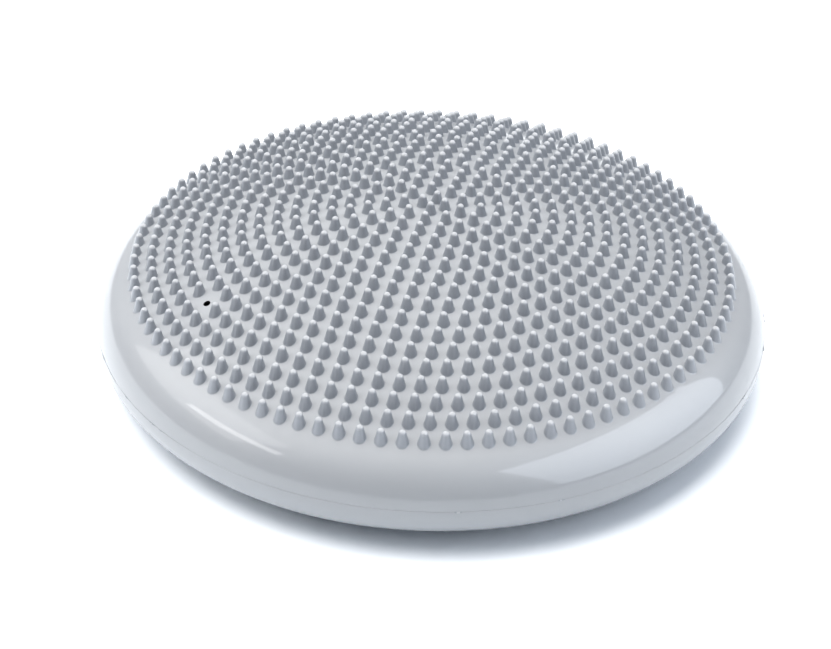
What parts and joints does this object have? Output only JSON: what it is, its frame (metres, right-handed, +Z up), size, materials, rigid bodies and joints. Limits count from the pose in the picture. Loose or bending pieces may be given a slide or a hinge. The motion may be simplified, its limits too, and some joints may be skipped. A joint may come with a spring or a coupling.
{
  "type": "balance disc",
  "caption": "Inflatable balance disc: a domed air cushion of soft PVC with rings of round-nosed studs on its crown, a needle valve near the edge and a flat base.",
  "frame": {"origin": "centre of the standing face, on the floor", "axes": "+Z up along the disc's axis; the front is -Y, and the needle hole is towards -X and -Y"},
  "size_m": [0.34, 0.34, 0.094],
  "materials": {
    "pvc_skin": "satin silver-grey soft PVC",
    "valve_plastic": "matt black",
    "valve_rubber": "matt black rubber"
  },
  "bodies": {
    "base": {"base_panel": "pvc_skin"},
    "rim": {"lower_wall": "pvc_skin", "upper_wall": "pvc_skin"},
    "deck": {"stud_panel": "pvc_skin", "valve_housing": "valve_plastic", "valve_core": "valve_rubber"}
  },
  "joints": [
    {"name": "tilt_front_back", "type": "hinge", "parent": "base", "child": "rim", "pos_m": [0, 0, 0.0296], "axis": [1, 0, 0], "range_deg": [-6, 6], "stiffness_Nm_per_rad": 150, "deforming": ["lower_wall"]},
    {"name": "tilt_side", "type": "hinge", "parent": "rim", "child": "deck", "pos_m": [0, 0, 0.0296], "axis": [0, 1, 0], "range_deg": [-6, 6], "stiffness_Nm_per_rad": 150, "deforming": ["upper_wall"]}
  ]
}
